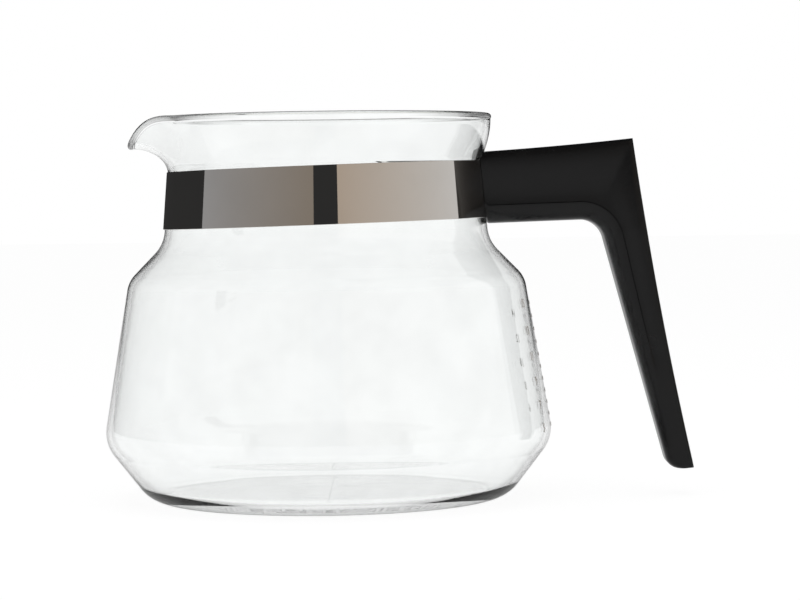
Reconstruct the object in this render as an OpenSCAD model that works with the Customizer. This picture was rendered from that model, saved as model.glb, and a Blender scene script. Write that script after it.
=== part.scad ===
// Coffee server carafe: a blown glass jug with a steel strap clamped round its neck
// and a moulded one-piece handle that one long screw pulls on to the strap.
// Millimetres. The origin is the centre of the base on the table, +Z is up,
// the handle lies towards +X and the pouring lip towards -X.

/* [Glass body] */
// Radius of the base corner before rounding
base_r = 65.7; // [62:0.5:70]
// Radius of the belly corner, the widest place, before rounding
belly_r = 83; // [78:0.5:90]
// Height of the belly corner
belly_z = 22.3; // [18:0.5:30]
// Radius of the shoulder corner before rounding
shoulder_r = 73.1; // [70:0.5:78]
// Height of the shoulder corner above the belly corner
shoulder_rise = 59.2; // [54:0.2:64]
// Outer radius at the foot of the neck
neck_r = 59.95; // [58:0.25:62]
// Height of the foot of the neck above the shoulder corner
neck_rise = 13.5; // [11:0.25:16]
// Rounding of the base corner
base_fillet = 14.5; // [8:0.5:16]
// Rounding of the belly corner
belly_fillet = 13.4; // [8:0.5:18]
// Rounding of the shoulder corner
shoulder_fillet = 11; // [6:0.5:12]
// Hollow rounding where the shoulder meets the neck
neck_fillet = 13; // [8:0.5:14]
// Thickness of the glass wall
wall = 2; // [1.6:0.1:2.6]
// Thickness of the glass floor
floor_t = 3; // [2:0.1:5]

/* [Mouth] */
// Outer radius at the throat, the narrowest place
throat_r = 57.6; // [56:0.1:59]
// Height of the throat above the foot of the neck
throat_rise = 29.5; // [29:0.25:33]
// Outer radius of the wall at the rim
mouth_r = 61.2; // [59:0.1:63]
// Height of the wall's end, under the rim bead, above the throat
mouth_rise = 15.3; // [12:0.1:18]
// How much thicker the fire-polished rim bead is than the wall
bead_swell = 0.5; // [0.3:0.05:1.2]

/* [Pouring lip] */
// How far the lip reaches out past the rim
lip_reach = 9.7; // [6:0.1:13]
// How far the lip's tip lies below the rim
lip_drop = 9.6; // [6:0.1:10.5]
// How far below the throat the lip leaves the neck
lip_root_drop = 4.2; // [1:0.1:4.5]
// Angle from the middle of the lip to where it dies out in the rim
lip_half_angle = 30; // [22:1:40]

/* [Cup scale] */
// How far the top mark, the full jug, lies below the shoulder corner
full_mark_drop = 9.5; // [7:0.25:15]
// Number of cups at the top mark
full_cups = 15; // [10:1:16]
// Cups at the lowest mark
first_cup = 5; // [4:1:8]
// Length of a mark round the glass
mark_l = 12; // [6:0.5:16]
// Height of a mark
mark_h = 1.1; // [0.6:0.1:1.6]
// Thickness of the enamel
enamel_t = 0.3; // [0.1:0.05:0.5]

/* [Strap] */
// How far the middle of the strap lies below the throat
strap_drop = 12; // [11.5:0.25:13]
// Width of the strap, along the neck
strap_w = 21; // [16:0.5:22]
// Thickness of the strap
strap_t = 0.5; // [0.4:0.05:0.7]
// Clearance between the glass and the strap
strap_gap = 0.12; // [0.08:0.02:0.3]
// How far the strap and the handle are tipped up towards the handle, in degrees
clamp_lean = 1.5; // [0:0.25:1.5]
// Distance between the two end tabs
tab_spread = 7; // [6:0.25:9]
// Height of a tab
tab_h = 14; // [12:0.5:16]
// How far the tabs stand out from the neck
tab_reach = 18.5; // [16:0.5:21]

/* [Clamp screw] */
// Diameter of the screw
screw_d = 4; // [3:0.5:4]
// Diameter of the screw head
head_d = 8; // [7:0.25:8.5]
// Thickness of the screw head
head_t = 2.6; // [2:0.1:3]
// Depth of the head's seat under the back face of the handle
seat_depth = 6; // [5.5:0.25:8]
// Clearance between the neck and the tip of the screw
screw_clear = 4.5; // [3.5:0.25:6.5]
// Outer diameter of the flat washer
washer_d = 9; // [8:0.25:9]
// Thickness of the flat washer
washer_t = 0.8; // [0.5:0.1:1]
// Outer diameter of the spring washer
spring_d = 7.2; // [6.5:0.1:7.5]
// Thickness of the spring washer
spring_t = 1; // [0.8:0.1:1.1]
// Length of the draw block along the screw
block_l = 7; // [6:0.25:8]
// Height of the draw block
block_h = 10; // [8:0.5:11]

/* [Handle] */
// Width of the top of the arm and of the back of the grip
handle_w = 25.4; // [22:0.2:28]
// Width of the grip at its tip
tip_w = 19; // [15:0.5:24]
// Height of the top of the arm above the screw, at the glass
arm_rise = 13.4; // [12.8:0.2:16]
// Height of the back corner above the screw
corner_rise = 16.3; // [14:0.1:18]
// Distance from the axis of the jug to the back corner
corner_x = 113.2; // [110:0.2:120]
// Depth of the underside of the arm below the screw
arm_drop = 12.8; // [11.6:0.2:15]
// Distance from the axis to where the underside and the inside of the grip would meet
crook_x = 100.2; // [96:0.2:103]
// Rounding of the crook between the arm and the grip
crook_r = 9; // [6:0.5:12]
// Depth of the tip of the grip below the screw
tip_drop = 105.9; // [90:0.1:108]
// Distance from the axis to the outer edge of the tip
tip_x = 131.8; // [124:0.2:134]
// Thickness of the grip at its tip
tip_t = 9.3; // [8:0.1:12]
// How far the back of the grip bows in from a straight line
back_bow = 1.3; // [0:0.05:3]
// Thickness of the flange along the top and the back
flange_t = 4.5; // [3:0.25:6]
// Depth of the hollow between the flange and the inner bead
hollow = 2.2; // [0.5:0.1:3.5]
// Height of the bead along the underside and the inside
bead_h = 6.5; // [4:0.25:8]

/* [Hidden] */
$fn = 96;

// Heights above the table
shoulder_z = belly_z + shoulder_rise;
neck_z = shoulder_z + neck_rise;
throat_z = neck_z + throat_rise;
mouth_z = throat_z + mouth_rise;
lip_root_z = throat_z - lip_root_drop;
strap_z = throat_z - strap_drop;
full_mark_z = shoulder_z - full_mark_drop;

// Overrun of every cut
over = 1;
// Clearance between pieces that are clamped together
fit = 0.1;
// Radial clearance of the screw in the draw block
thread_gap = 0.05;
// Radial clearance of the screw through the washers and the handle
screw_gap = 0.15;
// Clearance between the enamel and the glass
enamel_gap = 0.02;
// Step inside the strap where the blown neck is drawn on from the body
draw_step = 0.2;
// Height over which that step runs, either way
draw_h = 0.5;

// Steps of each rounding of the glass
round_steps = 8;
// Steps of the plain rim round the jug, and of each half of the lip
rim_steps = 44;
lip_steps = 12;
// Rows of the wall from the root of the lip to the rim, and steps round the bead
wall_rows = 8;
bead_steps = 9;
// Thickness of the rim bead
bead_d = wall + bead_swell;
// How sharply the lip's drop gathers towards its tip
lip_gather = 2.8;

// Draw block: ears, and the windows of the tabs that hold them
ear_l = 3;
ear_h = 5;
ear_out = 0.8;
ear_gap = 0.15;
// Clearance of the tabs, the block and its ears in the handle's slot
slot_gap = 0.3;
// Clearance of the washer in its seat
seat_gap = 0.25;
// Cross recess of the screw head
cross_w = 0.9;
cross_l = 4.4;
cross_depth = 1.4;
// Edge of the screw head
head_edge = 0.6;
// Gap of the spring washer and its slant
spring_split = 1;
spring_slant = 20;

// Handle: small edges and shape
edge_r = 1.1;
hollow_run = 5;
bead_bulge = 0.7;
under_w = 12;
front_chamfer = 2.2;
tip_round = 4;
tip_edge = 1.2;
// How far the arm starts inside the strap's outline before it is cut to fit
arm_root = 5;
// Stations of the arm, of each side of the corner and of the grip
arm_steps = 4;
corner_steps = 5;
grip_steps = 10;
edge_steps = 3;
hollow_steps = 5;
bulge_steps = 6;
// Share of the grip's length over which the hollow dies out
hollow_end_share = 0.62;
// Largest shares of the grip's thickness that flange, hollow and bead take
flange_share = 0.3;
hollow_share = 0.25;
bead_share = 0.42;

// Plane geometry
function unit(v) = v / norm(v);
function left_of(v) = [-v.y, v.x];
function mix(a, b, t) = a + (b - a) * t;
function cross_of(a, b) = a.x * b.y - a.y * b.x;
// The point where the line from a along u meets the line from b along v
function meet(a, u, b, v) = a + u * cross_of(b - a, v) / cross_of(u, v);

// Points of a rounded corner at b, between a and c
function round_corner(a, b, c, r) =
    let (u = unit(a - b), v = unit(c - b),
         half = acos(u * v) / 2,
         centre = b + unit(u + v) * r / sin(half),
         from = b + u * r / tan(half),
         turn = 180 - 2 * half,
         way = cross_of(u, v) < 0 ? 1 : -1)
    [for (i = [0 : round_steps])
        let (t = way * turn * i / round_steps, d = from - centre)
        centre + [d.x * cos(t) - d.y * sin(t), d.x * sin(t) + d.y * cos(t)]];

// A line of corners, each rounded by its own radius, with its two ends as they are
function round_line(line, radii) =
    concat([line[0]],
           [for (i = [1 : len(line) - 2])
               each round_corner(line[i - 1], line[i], line[i + 1], radii[i - 1])],
           [line[len(line) - 1]]);

// The same line moved to its left, the first stretch by one distance and the rest by another
function move_line(line, first, rest) =
    let (last = len(line) - 1,
         way = [for (i = [0 : last - 1]) unit(line[i + 1] - line[i])],
         by = [for (i = [0 : last - 1]) i == 0 ? first : rest],
         on = [for (i = [0 : last - 1]) line[i] + left_of(way[i]) * by[i]])
    concat([on[0]],
           [for (i = [1 : last - 1]) meet(on[i - 1], way[i - 1], on[i], way[i])],
           [line[last] + left_of(way[last - 1]) * rest]);

// Glass: the wall's outer line, as radius and height, from the middle of the base to the throat
outer_corners = [[0, 0], [base_r, 0], [belly_r, belly_z], [shoulder_r, shoulder_z],
                 [neck_r, neck_z], [throat_r, throat_z]];
inner_corners = move_line(outer_corners, floor_t, wall);
outer_line = round_line(outer_corners, [base_fillet, belly_fillet, shoulder_fillet, neck_fillet]);
inner_line = round_line(inner_corners, [base_fillet - wall, belly_fillet - wall,
                                        shoulder_fillet - wall, neck_fillet + wall]);
neck_way = unit(outer_corners[5] - outer_corners[4]);

// Outer radius of the straight neck at a height, and of the glass body at a height
function neck_at(z) = mix(neck_r, throat_r, (z - neck_z) / (throat_z - neck_z));
body_table = [for (p = outer_line) if (p.y > 0) [p.y, p.x]];
function body_at(z) = lookup(z, body_table);

// Outer radius of the flared mouth at a height above the throat
function flare_at(z) = throat_r + (mouth_r - throat_r) * sin(90 * (z - throat_z) / (mouth_z - throat_z));
function plain_at(z) = z <= throat_z ? neck_at(z) : flare_at(z);

// What the jug holds up to a height: the sum of the cone slices under it
function slice(a, b, z) =
    b.y <= a.y || a.y >= z ? 0
    : let (t = min(1, (z - a.y) / (b.y - a.y)), r = mix(a.x, b.x, t))
      PI * (b.y - a.y) * t * (a.x * a.x + a.x * r + r * r) / 3;
function held(z, i = 0) =
    i > len(inner_line) - 2 ? 0 : slice(inner_line[i], inner_line[i + 1], z) + held(z, i + 1);
// The height at which the jug holds a volume, by halving the range
function level(volume, low, high, steps = 24) =
    steps == 0 ? (low + high) / 2
    : let (z = (low + high) / 2)
      held(z) < volume ? level(volume, z, high, steps - 1) : level(volume, low, z, steps - 1);

// Closed surface over rings of points, the rings closed round and joined at the end if looped
module skin(rings, looped) {
    rows = len(rings);
    n = len(rings[0]);
    spans = looped ? rows : rows - 1;
    sides = [for (i = [0 : spans - 1], j = [0 : n - 1])
        let (a = i * n + j, b = i * n + (j + 1) % n,
             c = (i + 1) % rows * n + (j + 1) % n, d = (i + 1) % rows * n + j)
        each [[a, b, c], [a, c, d]]];
    caps = looped ? [] : [[for (j = [n - 1 : -1 : 0]) j], [for (j = [0 : n - 1]) (rows - 1) * n + j]];
    polyhedron([for (ring = rings) each ring], concat(sides, caps));
}

// Glass vessel

// Directions of the wall's sections round the jug, closer together at the lip
lip_angles = [for (i = [-lip_steps : lip_steps]) 180 + lip_half_angle * i / lip_steps];
rim_angles = [for (i = [1 : rim_steps - 1])
    180 + lip_half_angle + (360 - 2 * lip_half_angle) * i / rim_steps];

// How much of the lip there is in a direction: one at its middle and none past its half angle
function lip_weight(angle) =
    let (off = abs(angle - 180)) off >= lip_half_angle ? 0 : pow(cos(90 * off / lip_half_angle), 2);

// Outer line of the wall above the strap's middle: the plain mouth bent towards the lip by weight
function mouth_point(t, weight) =
    let (z = mix(lip_root_z, mouth_z, t),
         root_r = neck_at(lip_root_z),
         lip = [root_r + (mouth_r + lip_reach - root_r) * (1 - cos(90 * t)),
                lip_root_z + (mouth_z - lip_drop - lip_root_z) * sin(90 * t)])
    [mix(plain_at(z), lip.x, weight), mix(z, lip.y, pow(weight, lip_gather))];

// Closed section of the wall and the rim bead in a direction, as radius and height
function mouth_section(weight) =
    let (low = strap_z - draw_h, high = strap_z + draw_h,
         outer = concat([[neck_at(high), high]],
                        [for (i = [0 : wall_rows]) mouth_point(i / wall_rows, weight)]),
         n = len(outer),
         way = [for (i = [0 : n - 1])
             i == 0 ? neck_way : unit(outer[min(i + 1, n - 1)] - outer[i - 1])],
         inner = [for (i = [0 : n - 1]) outer[i] + left_of(way[i]) * wall],
         low_outer = [neck_at(low), low],
         low_inner = low_outer + left_of(neck_way) * wall,
         bead_r = bead_d / 2,
         opening = asin(wall / bead_d),
         tip = (outer[n - 1] + inner[n - 1]) / 2 + way[n - 1] * bead_r * cos(opening),
         bead = [for (i = [1 : bead_steps - 1])
             let (turn = mix(opening - 180, 180 - opening, i / bead_steps))
             tip + way[n - 1] * bead_r * cos(turn) + left_of(way[n - 1]) * bead_r * sin(turn)])
    concat([low_outer - [draw_step, 0]], outer, bead,
           [for (i = [n - 1 : -1 : 0]) inner[i]], [low_inner + [draw_step, 0]]);

module glass_body() {
    top_outer = [neck_at(strap_z), strap_z];
    outer = concat([for (p = outer_line) if (p.y < neck_z + neck_fillet && p.y < strap_z) p], [top_outer]);
    inner = concat([for (p = inner_line) if (p.y < neck_z + neck_fillet && p.y < strap_z) p],
                   [top_outer + left_of(neck_way) * wall]);
    rotate_extrude()
        polygon(concat(outer, [for (i = [len(inner) - 1 : -1 : 0]) inner[i]]));
}

module glass_mouth() {
    skin([for (angle = concat(lip_angles, rim_angles))
             [for (p = mouth_section(lip_weight(angle)))
                 [p.x * cos(angle), p.x * sin(angle), p.y]]], true);
}

module glass_vessel() {
    color([0.86, 0.92, 0.93, 0.35]) {
        glass_body();
        glass_mouth();
    }
}

// Cup scale: one enamel mark a cup, at the height where the jug holds that many cups
module mark(z) {
    low = z - mark_h / 2;
    high = z + mark_h / 2;
    turn = mark_l / body_at(z) * 180 / PI;
    rotate([0, 0, -turn / 2])
        rotate_extrude(angle = turn)
            polygon([[body_at(low) + enamel_gap, low],
                     [body_at(low) + enamel_gap + enamel_t, low],
                     [body_at(high) + enamel_gap + enamel_t, high],
                     [body_at(high) + enamel_gap, high]]);
}

module cup_scale() {
    cup = held(full_mark_z) / full_cups;
    color([0.62, 0.56, 0.5])
        for (n = [first_cup : full_cups]) mark(level(cup * n, floor_t, neck_z));
}

// Clamp: everything that hangs on the strap is tipped about the middle of the strap
module clamped() {
    translate([0, 0, strap_z]) rotate([0, -clamp_lean, 0]) children();
}

// Solid inside a surface that lies a distance outside the neck and the flared mouth
module neck_core(out) {
    heights = concat([neck_z, throat_z], [for (i = [1 : wall_rows]) mix(throat_z, mouth_z, i / wall_rows)]);
    rotate_extrude()
        polygon(concat([[0, neck_z]], [for (z = heights) [plain_at(z) + out, z]], [[0, mouth_z]]));
}

module strap_ring() {
    reach = strap_w / 2 + (max(neck_r, throat_r) + over) * sin(clamp_lean) + over;
    low = strap_z - reach;
    high = strap_z + reach;
    wide = 2 * (max(neck_at(low), neck_at(high)) + strap_gap + strap_t + over);
    difference() {
        intersection() {
            rotate_extrude()
                polygon([[neck_at(low) + strap_gap, low], [neck_at(low) + strap_gap + strap_t, low],
                         [neck_at(high) + strap_gap + strap_t, high], [neck_at(high) + strap_gap, high]]);
            clamped() cube([wide, wide, strap_w], center = true);
        }
        clamped() translate([0, -tab_spread / 2, -strap_w]) cube([wide, tab_spread, 2 * strap_w]);
    }
}

// The tabs and the screw keep their distance from the neck
tab_end = neck_at(strap_z) + tab_reach;
screw_tip = neck_at(strap_z) + screw_clear;
// Place of the draw block: its windows lie a little short of the end of the tabs
window_x = tab_end - ear_l * 2;
window_l = ear_l + 2 * ear_gap;
window_h = ear_h + 2 * ear_gap;

module tab() {
    difference() {
        clamped() translate([0, tab_spread / 2, -tab_h / 2]) cube([tab_end, strap_t, tab_h]);
        neck_core(strap_gap);
        clamped() translate([window_x - window_l / 2, 0, -window_h / 2])
            cube([window_l, tab_spread, window_h]);
    }
}

module clamp_strap() {
    color([0.72, 0.7, 0.67]) {
        strap_ring();
        tab();
        mirror([0, 1, 0]) tab();
    }
}

module rod(d, from, to) {
    translate([from, 0, 0]) rotate([0, 90, 0]) cylinder(d = d, h = to - from);
}

// Draw block: a tapped block between the tabs, whose ears stand in their windows
module draw_block() {
    body_w = tab_spread - 2 * fit;
    ears_w = tab_spread + 2 * (strap_t + ear_out);
    color([0.55, 0.55, 0.57])
        clamped() difference() {
            union() {
                translate([window_x - block_l / 2, -body_w / 2, -block_h / 2])
                    cube([block_l, body_w, block_h]);
                translate([window_x - ear_l / 2, -ears_w / 2, -ear_h / 2]) cube([ear_l, ears_w, ear_h]);
            }
            rod(screw_d + 2 * thread_gap, window_x - block_l, window_x + block_l);
        }
}

// The head's seat is as deep as stated where the screw's axis leaves the back of the handle
function back_at(z) =
    let (t = (corner_rise - z) / (corner_rise + tip_drop))
    mix(corner_x, tip_x, t) - back_bow * 4 * t * (1 - t);
seat_x = back_at(0) - seat_depth;
spring_x = seat_x + washer_t;
head_x = spring_x + spring_t;

module clamp_screw() {
    color([0.6, 0.6, 0.62])
        clamped() difference() {
            union() {
                rod(screw_d, screw_tip, head_x + head_t / 2);
                rod(head_d, head_x, head_x + head_t - head_edge);
                translate([head_x + head_t - head_edge, 0, 0]) rotate([0, 90, 0])
                    cylinder(d1 = head_d, d2 = head_d - 2 * head_edge, h = head_edge);
            }
            for (turn = [0, 90])
                translate([head_x + head_t - cross_depth, 0, 0]) rotate([turn, 0, 0])
                    translate([0, -cross_l / 2, -cross_w / 2])
                        cube([cross_depth + over, cross_l, cross_w]);
        }
}

module washer(d, t, x) {
    difference() {
        rod(d, x, x + t);
        rod(screw_d + 2 * screw_gap, x - over, x + t + over);
    }
}

module flat_washer() {
    color([0.66, 0.66, 0.68]) clamped() washer(washer_d, washer_t, seat_x);
}

module spring_washer() {
    color([0.5, 0.5, 0.52])
        clamped() difference() {
            washer(spring_d, spring_t, spring_x);
            translate([spring_x + spring_t / 2, 0, spring_d / 2]) rotate([0, 0, spring_slant])
                cube([spring_t * 3, spring_split, spring_d], center = true);
        }
}

// Handle, in the frame of the clamp: x is the distance from the jug's axis, z the height over the screw

// Slope of the inside of the grip, from the crook to the tip
crook = [crook_x, -arm_drop];
tip_inner = [tip_x - tip_t, -tip_drop];
grip_way = unit(tip_inner - crook);
grip_angle = atan2(grip_way.x, -grip_way.y);
crook_half = 45 + grip_angle / 2;
crook_centre = [crook_x - crook_r / tan(crook_half), -arm_drop - crook_r];
corner = [corner_x, corner_rise];
arm_start = plain_at(strap_z) - arm_root;
corner_angle = atan2(corner.y - crook_centre.y, corner.x - crook_centre.x);

function top_at(x) =
    let (t = (x - arm_start) / (corner_x - arm_start)) mix(arm_rise, corner_rise, t * (1 + t) / 2);
function crook_at(angle) = crook_centre + crook_r * [cos(angle), sin(angle)];
crook_end = crook_at(grip_angle);
// Where the back of the grip lies square to the end of the crook
grip_top = crook_centre.y + (back_at(0) - crook_centre.x) * tan(grip_angle);

// Each station: its outer point, its inner point, and how far along the grip it lies
chamfer_x = neck_at(strap_z) - edge_r;
arm_stations = concat(
    [[[arm_start, top_at(arm_start)], [arm_start, front_chamfer - arm_drop], 0],
     [[chamfer_x, top_at(chamfer_x)], [chamfer_x, front_chamfer - arm_drop], 0]],
    [for (i = [0 : arm_steps - 1])
        let (x = mix(chamfer_x + front_chamfer, crook_centre.x, i / arm_steps))
        [[x, top_at(x)], [x, -arm_drop], 0]]);
corner_stations = concat(
    [for (i = [0 : corner_steps - 1])
        let (t = i / corner_steps, x = mix(crook_centre.x, corner_x, t))
        [[x, top_at(x)], crook_at(mix(90, corner_angle, t)), 0]],
    [for (i = [0 : corner_steps - 1])
        let (t = i / corner_steps, z = mix(corner_rise, grip_top, t))
        [[back_at(z), z], crook_at(mix(corner_angle, grip_angle, t)), 0]]);
grip_low = tip_round - tip_drop;
grip_low_inner = meet(crook, grip_way, [0, grip_low], [1, 0]);
grip_stations = [for (i = [0 : grip_steps])
    let (t = i / grip_steps, z = mix(grip_top, grip_low, t))
    [[back_at(z), z], mix(crook_end, grip_low_inner, t), t]];
tip_stations = [for (i = [1 : edge_steps])
    let (turn = 90 * i / edge_steps,
         z = grip_low - (tip_round - tip_edge / 4) * sin(turn))
    [[back_at(z), z],
     mix(grip_low_inner, tip_inner, sin(turn)) + [tip_round * (1 - cos(turn)), 0], 1]];

// Half of a section, as distance in from the outer point and half width
function half_section(t, thick, narrow) =
    let (wide = mix(handle_w, tip_w, t) / 2 - narrow,
         deep = hollow * max(0, 1 - pow(t / hollow_end_share, 2)),
         web = wide - deep,
         flange = min(flange_t, flange_share * thick),
         run = min(hollow_run, hollow_share * thick),
         bead = min(bead_h, bead_share * thick),
         bulge = bead_bulge * deep / hollow,
         under = under_w / 2 * wide / (handle_w / 2))
    concat([for (i = [0 : edge_steps])
               let (a = 90 * i / edge_steps) [edge_r * (1 - cos(a)), wide - edge_r * (1 - sin(a))]],
           [for (i = [0 : hollow_steps])
               let (a = 90 * i / hollow_steps) [flange + run * (1 - cos(a)), wide - deep * sin(a)]],
           [for (i = [0 : bulge_steps])
               let (a = 90 * i / bulge_steps)
               [thick - bead + bead * sin(a), under + (web + bulge - under) * cos(a)]]);

// Ring of points at a station, mirrored about the handle's middle plane
function section_ring(station, narrow) =
    let (outer = station[0], inner = station[1],
         thick = norm(inner - outer), way = unit(inner - outer),
         half = half_section(station[2], thick, narrow),
         at = [for (p = half) outer + way * p.x])
    concat([for (i = [0 : len(half) - 1]) [at[i].x, half[i].y, at[i].y]],
           [for (i = [len(half) - 1 : -1 : 0]) [at[i].x, -half[i].y, at[i].y]]);

module handle_body() {
    rings = concat([for (s = concat(arm_stations, corner_stations, grip_stations)) section_ring(s, 0)],
                   [for (i = [0 : edge_steps - 1])
                       section_ring(tip_stations[i], tip_edge * (1 - cos(90 * (i + 1) / edge_steps)))]);
    skin(rings, false);
}

// Slot for the tabs and the draw block, open towards the glass
module handle_slot() {
    half_w = tab_spread / 2 + strap_t + slot_gap;
    half_h = tab_h / 2 + slot_gap;
    ears_w = half_w + ear_out;
    ears_h = ear_h / 2 + slot_gap;
    translate([0, -half_w, -half_h]) cube([tab_end + slot_gap, 2 * half_w, 2 * half_h]);
    translate([0, -ears_w, -ears_h]) cube([tab_end + slot_gap, 2 * ears_w, 2 * ears_h]);
}

module handle() {
    color([0.07, 0.07, 0.08])
        difference() {
            clamped() difference() {
                handle_body();
                handle_slot();
                rod(screw_d + 2 * screw_gap, tab_end - over, back_at(0));
                rod(washer_d + 2 * seat_gap, seat_x, tip_x);
            }
            neck_core(strap_gap + strap_t + fit);
        }
}

glass_vessel();
cup_scale();
clamp_strap();
draw_block();
clamp_screw();
flat_washer();
spring_washer();
handle();
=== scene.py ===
"""Coffee server carafe: clear glass jug, polished neck strap and black moulded handle.

Lengths are written in millimetres and turned into metres where a mesh is made.
"""

from math import acos, asin, atan2, cos, pi, radians, sin, tan

import bmesh
import bpy
from mathutils import Matrix, Vector


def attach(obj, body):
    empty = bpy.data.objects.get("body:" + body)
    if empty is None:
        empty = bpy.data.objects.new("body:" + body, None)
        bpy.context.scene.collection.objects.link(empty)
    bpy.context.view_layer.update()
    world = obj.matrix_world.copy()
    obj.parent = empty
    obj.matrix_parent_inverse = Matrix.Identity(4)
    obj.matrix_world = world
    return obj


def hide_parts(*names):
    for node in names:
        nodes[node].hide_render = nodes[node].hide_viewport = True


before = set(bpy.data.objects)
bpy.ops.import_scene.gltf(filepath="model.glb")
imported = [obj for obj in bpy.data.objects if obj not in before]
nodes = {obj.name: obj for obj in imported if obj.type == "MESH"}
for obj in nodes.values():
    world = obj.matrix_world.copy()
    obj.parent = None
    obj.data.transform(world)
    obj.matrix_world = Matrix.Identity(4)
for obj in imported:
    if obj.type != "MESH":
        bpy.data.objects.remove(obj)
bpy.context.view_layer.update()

MM = 0.001

# ---------------------------------------------------------------- sizes, mm

# Glass body: outer corners as radius and height, from the base to the throat
BASE_R, BELLY, SHOULDER = 65.7, (83.0, 22.3), (73.1, 81.5)
NECK, THROAT = (59.95, 95.0), (57.6, 124.5)
FILLETS = (14.5, 13.4, 11.0, 13.0)
WALL, FLOOR = 2.0, 3.0

# Mouth and pouring lip
MOUTH_R, MOUTH_Z, BEAD_D = 61.2, 139.8, 2.5
LIP_REACH, LIP_DROP, LIP_ROOT, LIP_HALF_ANGLE, LIP_GATHER = 9.7, 9.6, 120.3, 30.0, 2.8

# Strap
STRAP_Z, STRAP_W, STRAP_T, STRAP_GAP, STRAP_EDGE = 112.5, 21.0, 0.5, 0.12, 0.12
LEAN = radians(1.5)
TAB_SPREAD, TAB_H, TAB_END = 7.0, 14.0, 77.05

# Screw and washers that the handle is bored for, and the room left round what it holds
SCREW_D, WASHER_D, SEAT_DEPTH = 4.0, 9.0, 6.0
NECK_ROOM, TAB_ROOM, BORE_ROOM, SEAT_ROOM = 0.1, 0.3, 0.3, 0.5
CUT_OVERLAP = 1.0

# Handle, in the frame of the clamp: x from the jug's axis, z over the screw
HANDLE_W, TIP_W = 25.4, 19.0
ARM_RISE, CORNER, ARM_DROP = 13.4, (113.2, 16.3), 12.8
CROOK_X, CROOK_R = 100.2, 9.0
TIP, TIP_T, BACK_BOW = (131.8, -105.9), 9.3, 1.3
FLANGE_T, HOLLOW, BEAD_H = 3.0, 1.3, 6.5

# Cup scale
FULL_MARK_Z, FULL_CUPS, FIRST_CUP = 72.0, 15, 5
NUMBER_H, NUMBER_ANGLE, FONT_PER_FIGURE = 3.3, 17.0, 1.35
MARK_L, MARK_H, PRINT_T, PRINT_GAP = 12.0, 1.1, 0.14, 0.02

# Camera, fitted to the photograph
CAMERA_AT = (26.95, -1064.0, 112.6)
CAMERA_PITCH, CAMERA_ROLL, LENS = 2.12, -0.75, 129.4

# Studio: the table's reach, and how strong the white surroundings are
TABLE_REACH = 6000.0
ROOM_LIGHT, ROOM_SEEN, ROOM_REFLECTED = 0.75, 1.0, 0.03
TABLE_SEEN, TABLE_GLOW = 0.9, 1.035

# Points closer than this are one point
SAME_POINT = 0.0005


# ---------------------------------------------------------------- plane geometry


def mix(a, b, t):
    return a + (b - a) * t


def left_of(v):
    return Vector((-v.y, v.x))


def cross(a, b):
    return a.x * b.y - a.y * b.x


def meet(a, u, b, v):
    """Where the line from a along u meets the line from b along v."""
    return a + u * (cross(b - a, v) / cross(u, v))


def round_corner(a, b, c, r, steps=14):
    """Points of an arc of radius r in the corner at b."""
    u, v = (a - b).normalized(), (c - b).normalized()
    half = acos(max(-1, min(1, u.dot(v)))) / 2
    centre = b + (u + v).normalized() * (r / sin(half))
    start = b + u * (r / tan(half)) - centre
    turn = (pi - 2 * half) * (1 if cross(u, v) < 0 else -1)
    return [centre + Matrix.Rotation(turn * i / steps, 2) @ start for i in range(steps + 1)]


def round_line(line, radii, most=5.0):
    """A line of corners, each rounded, with its straight stretches cut into steps."""
    points = [line[0]]
    for i, r in enumerate(radii, 1):
        points += round_corner(line[i - 1], line[i], line[i + 1], r)
    points.append(line[-1])
    dense = [points[0]]
    for p in points[1:]:
        gap = (p - dense[-1]).length
        parts = max(1, round(gap / most))
        start = dense[-1]
        dense += [mix(start, p, k / parts) for k in range(1, parts + 1)]
    return dense


def move_line(line, first, rest):
    """The line moved to its left, the first stretch by one distance and the others by another."""
    way = [(b - a).normalized() for a, b in zip(line, line[1:])]
    on = [p + left_of(w) * (first if i == 0 else rest) for i, (p, w) in enumerate(zip(line, way))]
    middle = [meet(on[i - 1], way[i - 1], on[i], way[i]) for i in range(1, len(way))]
    return [on[0], *middle, line[-1] + left_of(way[-1]) * rest]


# ---------------------------------------------------------------- making pieces


def add_object(name, data):
    thing = bpy.data.objects.new(name, data)
    bpy.context.scene.collection.objects.link(thing)
    return thing


def mesh_from(bm, name):
    mesh = bpy.data.meshes.new(name)
    bm.to_mesh(mesh)
    bm.free()
    return mesh


def to_metres(bm):
    bmesh.ops.scale(bm, vec=(MM, MM, MM), verts=bm.verts)


def spin(bm, geom, angle, steps, closed=False):
    """Spins edges round the jug's axis, by a full turn where the result is closed."""
    bmesh.ops.spin(bm, geom=geom, cent=(0, 0, 0), axis=(0, 0, 1), angle=angle, steps=steps,
                   use_merge=closed)
    if closed:
        bmesh.ops.remove_doubles(bm, verts=bm.verts, dist=SAME_POINT)


def finish_mesh(bm, name, material, smooth_angle=None):
    """Turns a bmesh in millimetres into an object in metres that rides on the jug."""
    to_metres(bm)
    mesh = mesh_from(bm, name)
    mesh.shade_smooth()
    if smooth_angle is not None:
        mesh.set_sharp_from_angle(angle=radians(smooth_angle))
    piece = add_object(name, mesh)
    piece.data.materials.append(material)
    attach(piece, "root")
    return piece


def clamp_matrix():
    """The tilt of everything that hangs on the strap."""
    return Matrix.Translation((0, 0, STRAP_Z)) @ Matrix.Rotation(-LEAN, 4, "Y")


# ---------------------------------------------------------------- materials


def new_material(name):
    material = bpy.data.materials.new(name)
    material.use_nodes = True
    tree = material.node_tree
    return material, tree, tree.nodes["Principled BSDF"]


def link(tree, a, b):
    tree.links.new(a, b)


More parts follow.
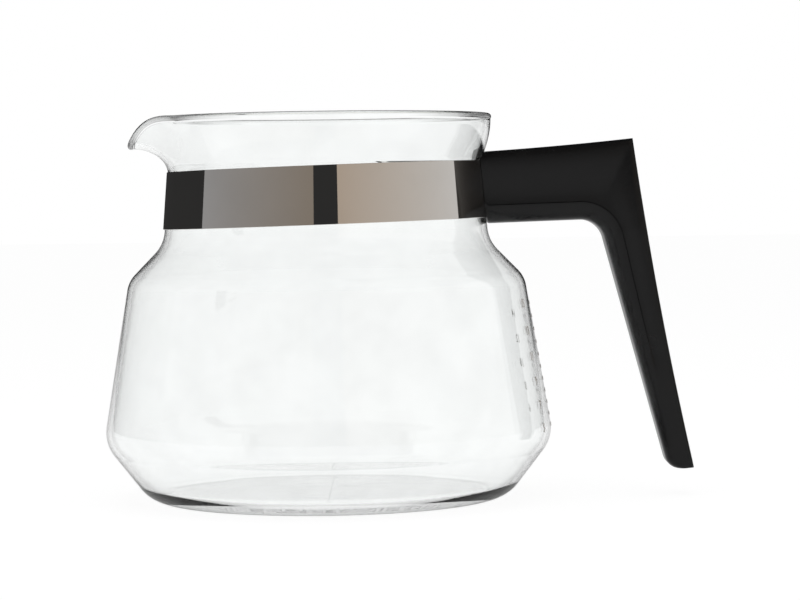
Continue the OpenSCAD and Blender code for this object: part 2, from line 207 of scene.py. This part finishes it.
def scuff_group():
    """Fine handling marks: a mask and a height that vary slowly and in small spots."""
    group = bpy.data.node_groups.new("handling_marks", "ShaderNodeTree")
    face = group.interface
    for name, value in (("Spot Scale", 900.0), ("Cloud Scale", 60.0), ("Amount", 0.5)):
        face.new_socket(name, in_out="INPUT", socket_type="NodeSocketFloat").default_value = value
    face.new_socket("Mask", in_out="OUTPUT", socket_type="NodeSocketFloat")
    face.new_socket("Height", in_out="OUTPUT", socket_type="NodeSocketFloat")
    n = group.nodes
    inside, outside = n.new("NodeGroupInput"), n.new("NodeGroupOutput")
    where = n.new("ShaderNodeTexCoord")
    cloud, spot = n.new("ShaderNodeTexNoise"), n.new("ShaderNodeTexNoise")
    cloud.inputs["Detail"].default_value = 4
    spot.inputs["Detail"].default_value = 2
    sharpen = n.new("ShaderNodeMapRange")
    sharpen.inputs["From Min"].default_value = 0.42
    sharpen.inputs["From Max"].default_value = 0.68
    scaled = n.new("ShaderNodeMath")
    scaled.operation = "MULTIPLY"
    for tex, scale in ((cloud, "Cloud Scale"), (spot, "Spot Scale")):
        group.links.new(where.outputs["Object"], tex.inputs["Vector"])
        group.links.new(inside.outputs[scale], tex.inputs["Scale"])
    group.links.new(cloud.outputs["Fac"], sharpen.inputs["Value"])
    group.links.new(sharpen.outputs["Result"], scaled.inputs[0])
    group.links.new(inside.outputs["Amount"], scaled.inputs[1])
    group.links.new(scaled.outputs[0], outside.inputs["Mask"])
    group.links.new(spot.outputs["Fac"], outside.inputs["Height"])
    return group


handling_marks = scuff_group()


def add_marks(tree, spot_scale, cloud_scale, amount):
    node = tree.nodes.new("ShaderNodeGroup")
    node.node_tree = handling_marks
    node.inputs["Spot Scale"].default_value = spot_scale
    node.inputs["Cloud Scale"].default_value = cloud_scale
    node.inputs["Amount"].default_value = amount
    return node


def add_roughness(tree, shader, mask, smooth, rough):
    """Roughness between two values by a mask."""
    spread = tree.nodes.new("ShaderNodeMapRange")
    spread.inputs["To Min"].default_value = smooth
    spread.inputs["To Max"].default_value = rough
    link(tree, mask, spread.inputs["Value"])
    link(tree, spread.outputs["Result"], shader.inputs["Roughness"])


def add_bump(tree, shader, height, distance):
    bump = tree.nodes.new("ShaderNodeBump")
    bump.inputs["Distance"].default_value = distance
    bump.inputs["Strength"].default_value = 1.0
    link(tree, height, bump.inputs["Height"])
    link(tree, bump.outputs["Normal"], shader.inputs["Normal"])


def add_colour(tree, shader, mask, low, high):
    """Base colour between two colours by a mask."""
    blend = tree.nodes.new("ShaderNodeMix")
    blend.data_type = "RGBA"
    blend.inputs[6].default_value = (*low, 1)
    blend.inputs[7].default_value = (*high, 1)
    link(tree, mask, blend.inputs[0])
    link(tree, blend.outputs[2], shader.inputs["Base Color"])


def jug_glass(name, turn_from, turn_to, edge):
    """Clear glass with painted shade: its own colour is made darker where it turns away from the
    eye.
    """
    material, tree, shader = new_material(name)
    shader.inputs["Transmission Weight"].default_value = 1.0
    shader.inputs["IOR"].default_value = 1.48
    shader.inputs["Roughness"].default_value = 0.0
    turn = tree.nodes.new("ShaderNodeLayerWeight")
    turn.inputs["Blend"].default_value = 0.5
    spread = tree.nodes.new("ShaderNodeMapRange")
    spread.inputs["From Min"].default_value = turn_from
    spread.inputs["From Max"].default_value = turn_to
    marks = add_marks(tree, 700, 60, 0.04)
    edge_shade_and_marks = tree.nodes.new("ShaderNodeMath")
    edge_shade_and_marks.operation, edge_shade_and_marks.use_clamp = "ADD", True
    # painted shade: the colour goes darker where the glass turns from the eye, in place of its dark
    # edges; handling marks are added on top
    link(tree, turn.outputs["Facing"], spread.inputs["Value"])
    link(tree, spread.outputs["Result"], edge_shade_and_marks.inputs[0])
    link(tree, marks.outputs["Mask"], edge_shade_and_marks.inputs[1])
    add_colour(tree, shader, edge_shade_and_marks.outputs[0], (0.985, 0.995, 0.992), (edge, edge, edge))
    # slow waves of blown glass
    where = tree.nodes.new("ShaderNodeTexCoord")
    waves = tree.nodes.new("ShaderNodeTexNoise")
    waves.inputs["Scale"].default_value = 26
    waves.inputs["Detail"].default_value = 1
    link(tree, where.outputs["Object"], waves.inputs["Vector"])
    add_bump(tree, shader, waves.outputs["Fac"], 0.00012)
    return material


def polished_steel():
    """Mirror polished strip with the faint rolling lines of the sheet, along the strip."""
    material, tree, shader = new_material("polished_steel")
    shader.inputs["Metallic"].default_value = 1.0
    marks = add_marks(tree, 1400, 45, 0.6)
    add_colour(tree, shader, marks.outputs["Mask"], (0.80, 0.78, 0.755), (0.74, 0.725, 0.70))
    add_roughness(tree, shader, marks.outputs["Mask"], 0.02, 0.05)
    where = tree.nodes.new("ShaderNodeTexCoord")
    squash = tree.nodes.new("ShaderNodeMapping")
    squash.inputs["Scale"].default_value = (12, 12, 2600)
    lines = tree.nodes.new("ShaderNodeTexNoise")
    lines.inputs["Scale"].default_value = 1
    lines.inputs["Detail"].default_value = 2
    link(tree, where.outputs["Object"], squash.inputs["Vector"])
    link(tree, squash.outputs["Vector"], lines.inputs["Vector"])
    add_bump(tree, shader, lines.outputs["Fac"], 0.0000008)
    return material


def zinc_steel(name, tint):
    """Zinc plated hardware: grey with cloudy plating and a fine grain."""
    material, tree, shader = new_material(name)
    shader.inputs["Metallic"].default_value = 1.0
    marks = add_marks(tree, 2400, 240, 0.9)
    low = tuple(c * 0.78 for c in tint)
    add_colour(tree, shader, marks.outputs["Mask"], tint, low)
    add_roughness(tree, shader, marks.outputs["Mask"], 0.24, 0.42)
    add_bump(tree, shader, marks.outputs["Height"], 0.00002)
    return material


def black_plastic():
    """Semi-gloss black moulding with a fine orange peel and slight rub marks."""
    material, tree, shader = new_material("black_plastic")
    marks = add_marks(tree, 700, 38, 0.8)
    add_colour(tree, shader, marks.outputs["Mask"],
               (0.0045, 0.0045, 0.0048), (0.0065, 0.0065, 0.0068))
    add_roughness(tree, shader, marks.outputs["Mask"], 0.2, 0.28)
    add_bump(tree, shader, marks.outputs["Height"], 0.000012)
    shader.inputs["IOR"].default_value = 1.5
    shader.inputs["Specular IOR Level"].default_value = 0.22
    return material


def fired_enamel():
    """Grey-brown printed enamel, slightly uneven in thickness."""
    material, tree, shader = new_material("fired_enamel")
    marks = add_marks(tree, 3000, 500, 0.8)
    add_colour(tree, shader, marks.outputs["Mask"], (0.42, 0.385, 0.35), (0.54, 0.50, 0.46))
    add_roughness(tree, shader, marks.outputs["Mask"], 0.3, 0.5)
    add_bump(tree, shader, marks.outputs["Height"], 0.00003)
    return material


# painted shade on the clear glass: its colour darkens toward the edges it turns away
glass_material = jug_glass("clear_glass", 0.8, 0.97, 0.2)
# the rim's glass carries stronger painted shade: its colour goes much darker as it turns from the
# eye
rim_material = jug_glass("fire_polished_rim_painted_shade", 0.15, 0.55, 0.1)
steel_material = polished_steel()
plastic_material = black_plastic()
enamel_material = fired_enamel()


# ---------------------------------------------------------------- glass

OUTER = [Vector(p) for p in ((0, 0), (BASE_R, 0), BELLY, SHOULDER, NECK, THROAT)]
INNER = move_line(OUTER, FLOOR, WALL)
INNER_FILLETS = (*(f - WALL for f in FILLETS[:3]), FILLETS[3] + WALL)
OUTER_LINE = round_line(OUTER, FILLETS)
INNER_LINE = round_line(INNER, INNER_FILLETS)
NECK_WAY = (OUTER[5] - OUTER[4]).normalized()


def neck_at(z):
    return mix(NECK[0], THROAT[0], (z - NECK[1]) / (THROAT[1] - NECK[1]))


def plain_at(z):
    """Outer radius of the neck and the plain flared mouth at a height."""
    if z <= THROAT[1]:
        return neck_at(z)
    return THROAT[0] + (MOUTH_R - THROAT[0]) * sin(pi / 2 * (z - THROAT[1]) / (MOUTH_Z - THROAT[1]))


def lip_weight(angle):
    """How much of the lip there is in a direction, measured from -X, in degrees."""
    off = abs(angle)
    return 0.0 if off >= LIP_HALF_ANGLE else cos(pi / 2 * off / LIP_HALF_ANGLE) ** 2


def mouth_line(t, weight):
    """Outer line of the wall from the root of the lip, t = 0, to the rim, t = 1."""
    z = mix(LIP_ROOT, MOUTH_Z, t)
    root = neck_at(LIP_ROOT)
    lip = Vector((root + (MOUTH_R + LIP_REACH - root) * (1 - cos(pi / 2 * t)),
                  LIP_ROOT + (MOUTH_Z - LIP_DROP - LIP_ROOT) * sin(pi / 2 * t)))
    return Vector((mix(plain_at(z), lip.x, weight), mix(z, lip.y, weight ** LIP_GATHER)))


def mouth_point(t, along, depth, weight):
    """A point of the wall: past the line's end by along, and in from its outer side by depth."""
    step = 0.01
    low, high = max(0.0, t - step), min(1.0, t + step)
    way = (mouth_line(high, weight) - mouth_line(low, weight)).normalized()
    if t == 0:
        way = NECK_WAY
    return mouth_line(t, weight) + way * along + left_of(way) * depth


def make_glass():
    """The wall's section is drawn once, spun round, and its mouth is bent to the lip."""
    rows, turns, bead_steps = 26, 288, 14
    body_outer = [p for p in OUTER_LINE if p.y < LIP_ROOT - 1]
    body_inner = [p for p in INNER_LINE if p.y < LIP_ROOT - 1]

    bead_r = BEAD_D / 2
    opening = asin(WALL / BEAD_D)
    section = [(p, None) for p in body_outer]
    section += [(None, (i / rows, 0.0, 0.0)) for i in range(rows + 1)]
    for i in range(1, bead_steps):
        turn = mix(opening - pi, pi - opening, i / bead_steps)
        along = bead_r * (cos(opening) + cos(turn))
        section.append((None, (1.0, along, WALL / 2 + bead_r * sin(turn))))
    section += [(None, (i / rows, 0.0, WALL)) for i in range(rows, -1, -1)]
    section += [(p, None) for p in reversed(body_inner)]

    bm = bmesh.new()
    place = bm.verts.layers.float_vector.new("place")
    bent = bm.verts.layers.int.new("bent")
    chain = []
    for p, mouth in section:
        if mouth:
            p = mouth_point(*mouth, 0.0)
        v = bm.verts.new((-p.x, 0, p.y))
        if mouth:
            v[place], v[bent] = Vector(mouth), 1
        chain.append(v)
    edges = [bm.edges.new(pair) for pair in zip(chain, chain[1:])]
    spin(bm, chain + edges, 2 * pi, turns, closed=True)
    for v in bm.verts:
        if not v[bent]:
            continue
        angle = atan2(v.co.y, -v.co.x) * 180 / pi
        p = mouth_point(*v[place], lip_weight(angle))
        v.co = Vector((-p.x * cos(radians(angle)), p.x * sin(radians(angle)), p.y))
    # the bead at the rim takes the glass with the stronger painted shade
    for face in bm.faces:
        at_rim = all(v[bent] and v[place].x == 1.0 for v in face.verts)
        if at_rim and any(v[place].y > 0 for v in face.verts):
            face.material_index = 1
    bmesh.ops.recalc_face_normals(bm, faces=bm.faces)
    glass = finish_mesh(bm, "blown_glass", glass_material)
    glass.data.materials.append(rim_material)
    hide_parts("glass_vessel")


# ---------------------------------------------------------------- strap


def make_strap():
    """A conical strip open at the handle, with its ends folded out into tabs."""
    turns = 300
    middle = STRAP_GAP + STRAP_T / 2
    half_gap = asin((TAB_SPREAD + STRAP_T) / 2 / (neck_at(STRAP_Z) + middle))
    bm = bmesh.new()
    low, high = bm.verts.new((0, 0, -1)), bm.verts.new((0, 0, 1))
    edge = bm.edges.new((low, high))
    for v in (low, high):
        v.co.x = neck_at(STRAP_Z) * cos(half_gap)
        v.co.y = neck_at(STRAP_Z) * sin(half_gap)
    spin(bm, [low, high, edge], 2 * (pi - half_gap), turns)
    for v in bm.verts:
        angle = atan2(v.co.y, v.co.x)
        side = 1 if v.co.z > 0 else -1
        r = neck_at(STRAP_Z) + middle
        for _ in range(4):  # the radius follows the cone, and the height the tilted edge
            z = STRAP_Z + r * cos(angle) * tan(LEAN) + side * STRAP_W / 2 / cos(LEAN)
            r = neck_at(z) + middle
        v.co = Vector((r * cos(angle), r * sin(angle), z))
    ends = [e for e in bm.edges
            if e.is_boundary and abs(e.verts[0].co.z - e.verts[1].co.z) > STRAP_W / 2]
    for e in ends:
        made = bmesh.ops.extrude_edge_only(bm, edges=[e])["geom"]
        for v in (g for g in made if isinstance(g, bmesh.types.BMVert)):
            up = 1 if v.co.z > STRAP_Z + v.co.x * tan(LEAN) else -1
            v.co = clamp_matrix() @ Vector((TAB_END, 0, up * TAB_H / 2)) + Vector((0, v.co.y, 0))
    bmesh.ops.recalc_face_normals(bm, faces=bm.faces)
    strap = finish_mesh(bm, "neck_strap", steel_material, 30)
    thick = strap.modifiers.new("thickness", "SOLIDIFY")
    thick.thickness, thick.offset = STRAP_T * MM, 0
    rolled = strap.modifiers.new("rolled_edge", "BEVEL")
    rolled.width, rolled.segments, rolled.limit_method = STRAP_EDGE * MM, 2, "ANGLE"
    rolled.angle_limit = radians(60)
    rolled.harden_normals = True
    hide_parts("clamp_strap")


# ---------------------------------------------------------------- handle


def back_at(z):
    t = (CORNER[1] - z) / (CORNER[1] - TIP[1])
    return mix(CORNER[0], TIP[0], t) - BACK_BOW * 4 * t * (1 - t)


class Handle:
    """The handle's outline and sections.

    Its x is the distance from the jug's axis and its z the height over the screw.
    """

    edge_r, bulge, under_w = 1.1, 0.7, 12.0
    chamfer, tip_round, tip_edge, root = 2.2, 4.0, 1.2, 5.0
    bead_share, flange_share, crease = 0.42, 0.3, 0.3
    hollow_end = 0.62  # how far down the grip the hollow dies out
    arm_steps, corner_steps, grip_steps, tip_steps = 10, 14, 26, 6
    edge_steps, hollow_steps, bead_steps = 5, 10, 12

    def __init__(self):
        self.crook = Vector((CROOK_X, -ARM_DROP))
        self.tip_inner = Vector((TIP[0] - TIP_T, TIP[1]))
        self.grip_way = (self.tip_inner - self.crook).normalized()
        self.grip_angle = atan2(self.grip_way.x, -self.grip_way.y)
        half = pi / 4 + self.grip_angle / 2
        self.centre = Vector((CROOK_X - CROOK_R / tan(half), -ARM_DROP - CROOK_R))
        self.start = plain_at(STRAP_Z) - self.root
        self.corner_angle = atan2(CORNER[1] - self.centre.y, CORNER[0] - self.centre.x)
        self.grip_top = self.centre.y + (back_at(0) - self.centre.x) * tan(self.grip_angle)

    def top_at(self, x):
        t = (x - self.start) / (CORNER[0] - self.start)
        return mix(ARM_RISE, CORNER[1], t * (1 + t) / 2)

    def crook_at(self, angle):
        return self.centre + Vector((cos(angle), sin(angle))) * CROOK_R

    def stations(self):
        """Each station: outer point, inner point, how far down the grip, how much narrower."""
        made = []
        front = neck_at(STRAP_Z) - self.edge_r
        for x in (self.start, front):
            inner = Vector((x, self.chamfer - ARM_DROP))
            made.append((Vector((x, self.top_at(x))), inner, 0, 0))
        for i in range(self.arm_steps):
            x = mix(front + self.chamfer, self.centre.x, i / self.arm_steps)
            made.append((Vector((x, self.top_at(x))), Vector((x, -ARM_DROP)), 0, 0))
        for i in range(self.corner_steps):
            t = i / self.corner_steps
            x = mix(self.centre.x, CORNER[0], t)
            inner = self.crook_at(mix(pi / 2, self.corner_angle, t))
            made.append((Vector((x, self.top_at(x))), inner, 0, 0))
        for i in range(self.corner_steps):
            t = i / self.corner_steps
            z = mix(CORNER[1], self.grip_top, t)
            inner = self.crook_at(mix(self.corner_angle, self.grip_angle, t))
            made.append((Vector((back_at(z), z)), inner, 0, 0))
        low = self.tip_round + TIP[1]
        low_inner = meet(self.crook, self.grip_way, Vector((0, low)), Vector((1, 0)))
        for i in range(self.grip_steps + 1):
            t = i / self.grip_steps
            z = mix(self.grip_top, low, t)
            inner = mix(self.crook_at(self.grip_angle), low_inner, t)
            made.append((Vector((back_at(z), z)), inner, t, 0))
        for i in range(1, self.tip_steps + 1):
            turn = pi / 2 * i / self.tip_steps
            z = low - (self.tip_round - self.tip_edge / 4) * sin(turn)
            inner = mix(low_inner, self.tip_inner, sin(turn))
            inner += Vector((self.tip_round * (1 - cos(turn)), 0))
            made.append((Vector((back_at(z), z)), inner, 1, self.tip_edge * (1 - cos(turn))))
        return made

    def half_section(self, t, thick, narrow):
        """Half of a section, as distance in from the outer point and half width."""
        wide = mix(HANDLE_W, TIP_W, t) / 2 - narrow
        deep = HOLLOW * max(0.0, 1 - (t / self.hollow_end) ** 2)
        web = wide - deep
        bead = min(BEAD_H, self.bead_share * thick)
        flange = min(FLANGE_T, self.flange_share * thick)
        run = thick - bead - flange - self.crease
        bulge = self.bulge * deep / HOLLOW
        under = self.under_w / 2 * wide / (HANDLE_W / 2)
        points = []
        for i in range(self.edge_steps + 1):
            a = pi / 2 * i / self.edge_steps
            points.append((self.edge_r * (1 - cos(a)), wide - self.edge_r * (1 - sin(a))))
        for i in range(self.hollow_steps + 1):
            u = i / self.hollow_steps
            points.append((flange + run * u, wide - deep * u * u * (3 - 2 * u)))
        for i in range(self.bead_steps + 1):
            a = pi / 2 * i / self.bead_steps
            points.append((thick - bead + bead * sin(a), under + (web + bulge - under) * cos(a)))
        return points


def neck_core(out):
    """Solid inside a surface that lies a distance outside the neck and the mouth."""
    rows = 8
    heights = [NECK[1]] + [mix(THROAT[1], MOUTH_Z, i / rows) for i in range(rows + 1)]
    wall = [Vector((plain_at(z) + out, z)) for z in heights]
    line = [Vector((0, NECK[1])), *wall, Vector((0, MOUTH_Z))]
    bm = bmesh.new()
    chain = [bm.verts.new((p.x, 0, p.y)) for p in line]
    edges = [bm.edges.new(pair) for pair in zip(chain, chain[1:])]
    spin(bm, chain + edges, 2 * pi, 256, closed=True)
    bmesh.ops.recalc_face_normals(bm, faces=bm.faces)
    return bm


def rod(d, start, end):
    """A round bar along the screw's axis."""
    bm = bmesh.new()
    bmesh.ops.create_cone(bm, cap_ends=True, segments=64, radius1=d / 2, radius2=d / 2,
                          depth=end - start)
    turn = Matrix.Translation(((start + end) / 2, 0, 0)) @ Matrix.Rotation(pi / 2, 4, "Y")
    bmesh.ops.transform(bm, matrix=clamp_matrix() @ turn, verts=bm.verts)
    return bm


def block(low, high):
    """A box in the frame of the clamp."""
    bm = bmesh.new()
    bmesh.ops.create_cube(bm, size=1)
    size = Vector(high) - Vector(low)
    place = Matrix.Translation((Vector(low) + Vector(high)) / 2) @ Matrix.Diagonal((*size, 1))
    bmesh.ops.transform(bm, matrix=clamp_matrix() @ place, verts=bm.verts)
    return bm


def cut(piece, cutters):
    """Takes the cutters out of a piece and keeps only the result."""
    tools = []
    for i, bm in enumerate(cutters):
        to_metres(bm)
        name = f"cutter_{i}"
        tool = add_object(name, mesh_from(bm, name))
        step = piece.modifiers.new(name, "BOOLEAN")
        step.operation, step.object, step.solver = "DIFFERENCE", tool, "EXACT"
        tools.append(tool)
    graph = bpy.context.evaluated_depsgraph_get()
    result = bpy.data.meshes.new_from_object(piece.evaluated_get(graph), depsgraph=graph)
    piece.modifiers.clear()
    piece.data = result
    for tool in tools:
        bpy.data.objects.remove(tool)


def make_handle():
    """Sections bridged from the glass to the tip, then cut to the neck and bored for the screw."""
    shape = Handle()
    bm = bmesh.new()
    loops = []
    for outer, inner, t, narrow in shape.stations():
        thick, way = (inner - outer).length, (inner - outer).normalized()
        half = [(outer + way * d, w) for d, w in shape.half_section(t, thick, narrow)]
        ring = [(p.x, w, p.y) for p, w in half] + [(p.x, -w, p.y) for p, w in reversed(half)]
        verts = [bm.verts.new(p) for p in ring]
        loops.append([bm.edges.new(pair) for pair in zip(verts, verts[1:] + verts[:1])])
    for a, b in zip(loops, loops[1:]):
        bmesh.ops.bridge_loops(bm, edges=a + b)
    bmesh.ops.holes_fill(bm, edges=loops[0] + loops[-1], sides=0)
    bmesh.ops.transform(bm, matrix=clamp_matrix(), verts=bm.verts)
    bmesh.ops.recalc_face_normals(bm, faces=bm.faces)
    handle = finish_mesh(bm, "moulded_handle", plastic_material)
    half_w, half_h = TAB_SPREAD / 2 + STRAP_T + TAB_ROOM, TAB_H / 2 + TAB_ROOM
    back = back_at(0)
    cut(handle, [
        neck_core(STRAP_GAP + STRAP_T + NECK_ROOM),
        block((0, -half_w, -half_h), (TAB_END + TAB_ROOM, half_w, half_h)),
        rod(SCREW_D + BORE_ROOM, TAB_END - CUT_OVERLAP, back - CUT_OVERLAP),
        rod(WASHER_D + SEAT_ROOM, back - SEAT_DEPTH, TIP[0]),
    ])
    handle.data.shade_smooth()
    handle.data.set_sharp_from_angle(angle=radians(38))
    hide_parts("handle")


# ---------------------------------------------------------------- cup scale


def body_at(z):
    """Outer radius of the glass body at a height."""
    for a, b in zip(OUTER_LINE, OUTER_LINE[1:]):
        if b.y > a.y and a.y <= z <= b.y:
            return mix(a.x, b.x, (z - a.y) / (b.y - a.y))
    return THROAT[0]


def held(z):
    """What the jug holds up to a height."""
    total = 0.0
    for a, b in zip(INNER_LINE, INNER_LINE[1:]):
        if b.y > a.y and a.y < z:
            t = min(1.0, (z - a.y) / (b.y - a.y))
            r = mix(a.x, b.x, t)
            total += pi * (b.y - a.y) * t * (a.x ** 2 + a.x * r + r ** 2) / 3
    return total


def level(volume):
    """The height to which a volume fills the jug."""
    low, high = FLOOR, NECK[1]
    for _ in range(24):
        middle = (low + high) / 2
        low, high = (middle, high) if held(middle) < volume else (low, middle)
    return (low + high) / 2


def cup_height(cups):
    return level(held(FULL_MARK_Z) / FULL_CUPS * cups)


def make_marks():
    """The printed marks, as thin as fired enamel."""
    bm = bmesh.new()
    for n in range(FIRST_CUP, FULL_CUPS + 1):
        middle = cup_height(n)
        turn = MARK_L / body_at(middle)
        ring = []
        for side, out in ((-1, PRINT_GAP), (-1, PRINT_T), (1, PRINT_T), (1, PRINT_GAP)):
            z = middle + side * MARK_H / 2
            r = body_at(z) + out
            ring.append(bm.verts.new((r * cos(-turn / 2), r * sin(-turn / 2), z)))
        edges = [bm.edges.new(pair) for pair in zip(ring, ring[1:] + ring[:1])]
        spin(bm, ring + edges, turn, 16)
    bmesh.ops.holes_fill(bm, edges=[e for e in bm.edges if e.is_boundary], sides=4)
    bmesh.ops.recalc_face_normals(bm, faces=bm.faces)
    marks = finish_mesh(bm, "cup_marks", enamel_material, 30)
    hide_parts("cup_scale")


def make_numbers():
    """Plain cup numbers beside the marks: odd cups on one side, even cups on the other."""
    bm = bmesh.new()
    for n in range(FIRST_CUP, FULL_CUPS + 1):
        text = bpy.data.curves.new(f"cup_{n}", "FONT")
        text.body, text.align_x, text.align_y = str(n), "CENTER", "CENTER"
        text.size, text.extrude = NUMBER_H * FONT_PER_FIGURE, PRINT_T / 2
        text.resolution_u = 4
        carrier = bpy.data.objects.new(text.name, text)
        mesh = carrier.to_mesh()
        first = len(bm.verts)
        bm.from_mesh(mesh)
        carrier.to_mesh_clear()
        bpy.data.objects.remove(carrier)
        bm.verts.ensure_lookup_table()
        side = -1 if n % 2 else 1
        middle = cup_height(n)
        for v in list(bm.verts)[first:]:
            z = middle + v.co.y
            r = body_at(z) + PRINT_T / 2 + PRINT_GAP + v.co.z
            angle = radians(side * NUMBER_ANGLE) + v.co.x / body_at(z)
            v.co = Vector((r * cos(angle), r * sin(angle), z))
    bmesh.ops.recalc_face_normals(bm, faces=bm.faces)
    numbers = finish_mesh(bm, "cup_numbers", enamel_material)


def dress_hardware():
    """The screw, washers and block keep their CAD solids."""
    tints = {"draw_block": (0.50, 0.50, 0.52), "clamp_screw": (0.62, 0.62, 0.63),
             "flat_washer": (0.66, 0.66, 0.67), "spring_washer": (0.46, 0.46, 0.48)}
    for name, tint in tints.items():
        nodes[name].data.materials.clear()
        nodes[name].data.materials.append(zinc_steel(f"{name}_zinc", tint))


# ---------------------------------------------------------------- studio


def light_path_level(tree, plain, seen):
    """A strength that is one value for plain light and another for what camera and glass see."""
    path = tree.nodes.new("ShaderNodeLightPath")
    either = tree.nodes.new("ShaderNodeMath")
    either.operation = "MAXIMUM"
    link(tree, path.outputs["Is Camera Ray"], either.inputs[0])
    link(tree, path.outputs["Is Transmission Ray"], either.inputs[1])
    spread = tree.nodes.new("ShaderNodeMapRange")
    spread.inputs["To Min"].default_value = plain
    spread.inputs["To Max"].default_value = seen
    link(tree, either.outputs[0], spread.inputs["Value"])
    return spread.outputs["Result"]


def make_world():
    """White behind the object and through the glass, dim in reflections, as in a dark studio."""
    world = bpy.data.worlds.new("studio")
    bpy.context.scene.world = world
    world.use_nodes = True
    tree = world.node_tree
    back = tree.nodes["Background"]
    back.inputs["Color"].default_value = (1, 1, 1, 1)
    path = tree.nodes.new("ShaderNodeLightPath")
    strength = light_path_level(tree, ROOM_LIGHT, ROOM_SEEN)
    dim = tree.nodes.new("ShaderNodeMix")
    dim.data_type = "FLOAT"
    reflected = tree.nodes.new("ShaderNodeMath")
    reflected.operation, reflected.use_clamp = "SUBTRACT", True
    link(tree, path.outputs["Is Glossy Ray"], reflected.inputs[0])
    link(tree, path.outputs["Is Transmission Ray"], reflected.inputs[1])
    link(tree, reflected.outputs[0], dim.inputs[0])
    link(tree, strength, dim.inputs[2])
    dim.inputs[3].default_value = ROOM_REFLECTED
    link(tree, dim.outputs[0], back.inputs["Strength"])


def make_floor():
    """A plain white table that stays white in the picture and keeps a soft shadow."""
    bm = bmesh.new()
    bmesh.ops.create_grid(bm, x_segments=1, y_segments=1, size=TABLE_REACH * MM)
    floor = add_object("table_top", mesh_from(bm, "table_top"))
    material, tree, shader = new_material("white_table")
    shader.inputs["Base Color"].default_value = (0.88, 0.88, 0.88, 1)
    shader.inputs["Roughness"].default_value = 0.6
    glow = tree.nodes.new("ShaderNodeEmission")
    glow.inputs["Color"].default_value = (1, 1, 1, 1)
    blend = tree.nodes.new("ShaderNodeMixShader")
    share = light_path_level(tree, 0.0, TABLE_SEEN)
    glow.inputs["Strength"].default_value = TABLE_GLOW
    link(tree, share, blend.inputs[0])
    link(tree, shader.outputs[0], blend.inputs[1])
    link(tree, glow.outputs[0], blend.inputs[2])
    link(tree, blend.outputs[0], tree.nodes["Material Output"].inputs["Surface"])
    floor.data.materials.append(material)


def make_panel(name, stops, reach=1500.0, low=-200.0, high=900.0):
    """A curved studio wall, seen only in reflections.

    Each stop is a bearing in degrees from the camera's side, towards +X, and the wall's colour
    there.
    """
    steps, same_bearing = 48, 0.01
    start, end = stops[0][0], stops[-1][0]
    bm = bmesh.new()
    a, b = radians(start), radians(end)
    foot = bm.verts.new((reach * sin(a), -reach * cos(a), low))
    head = bm.verts.new((reach * sin(a), -reach * cos(a), high))
    edge = bm.edges.new((foot, head))
    spin(bm, [foot, head, edge], b - a, steps)
    to_metres(bm)
    shade = bm.loops.layers.float_color.new("shade")
    for face in bm.faces:
        for corner in face.loops:
            bearing = atan2(corner.vert.co.x, -corner.vert.co.y) * 180 / pi
            for (low_end, p), (high_end, q) in zip(stops, stops[1:]):
                if low_end - same_bearing <= bearing <= high_end + same_bearing:
                    t = (bearing - low_end) / (high_end - low_end)
                    corner[shade] = (*(mix(c, d, t) for c, d in zip(p, q)), 1)
    panel = add_object(name, mesh_from(bm, name))
    material, tree, shader = new_material(name)
    tree.nodes.remove(shader)
    attribute = tree.nodes.new("ShaderNodeVertexColor")
    attribute.layer_name = "shade"
    glow = tree.nodes.new("ShaderNodeEmission")
    link(tree, attribute.outputs["Color"], glow.inputs["Color"])
    link(tree, glow.outputs[0], tree.nodes["Material Output"].inputs["Surface"])
    panel.data.materials.append(material)
    panel.visible_camera = panel.visible_transmission = False
    panel.visible_diffuse = panel.visible_shadow = False


def make_lamp(name, at, size, watts, target=(0, 0, 90)):
    data = bpy.data.lights.new(name, "AREA")
    data.shape, data.energy = "RECTANGLE", watts
    data.size, data.size_y = size[0] * MM, size[1] * MM
    lamp = add_object(name, data)
    lamp.location = Vector(at) * MM
    lamp.rotation_euler = (Vector(target) - Vector(at)).to_track_quat("-Z", "Y").to_euler()
    lamp.visible_camera = lamp.visible_transmission = lamp.visible_glossy = False


def make_studio():
    make_world()
    make_floor()
    make_panel("left_wall", ((-94, (0.32, 0.32, 0.325)), (-7, (0.25, 0.215, 0.18))))
    make_panel("right_wall", ((9.5, (0.46, 0.385, 0.315)), (109, (0.62, 0.61, 0.60))))
    make_lamp("overhead", (0, -200, 1200), (900, 900), 6)


def make_camera():
    data = bpy.data.cameras.new("photographer")
    data.lens, data.sensor_width = LENS, 36
    data.clip_start, data.clip_end = 0.05, 30
    camera = add_object("photographer", data)
    camera.matrix_world = (Matrix.Translation(Vector(CAMERA_AT) * MM)
                           @ Matrix.Rotation(radians(90 - CAMERA_PITCH), 4, "X")
                           @ Matrix.Rotation(radians(CAMERA_ROLL), 4, "Z"))
    bpy.context.scene.camera = camera


make_glass()
make_strap()
make_handle()
make_marks()
make_numbers()
dress_hardware()
make_studio()
make_camera()
bpy.context.scene.view_settings.view_transform = "Standard"

bpy.context.view_layer.update()
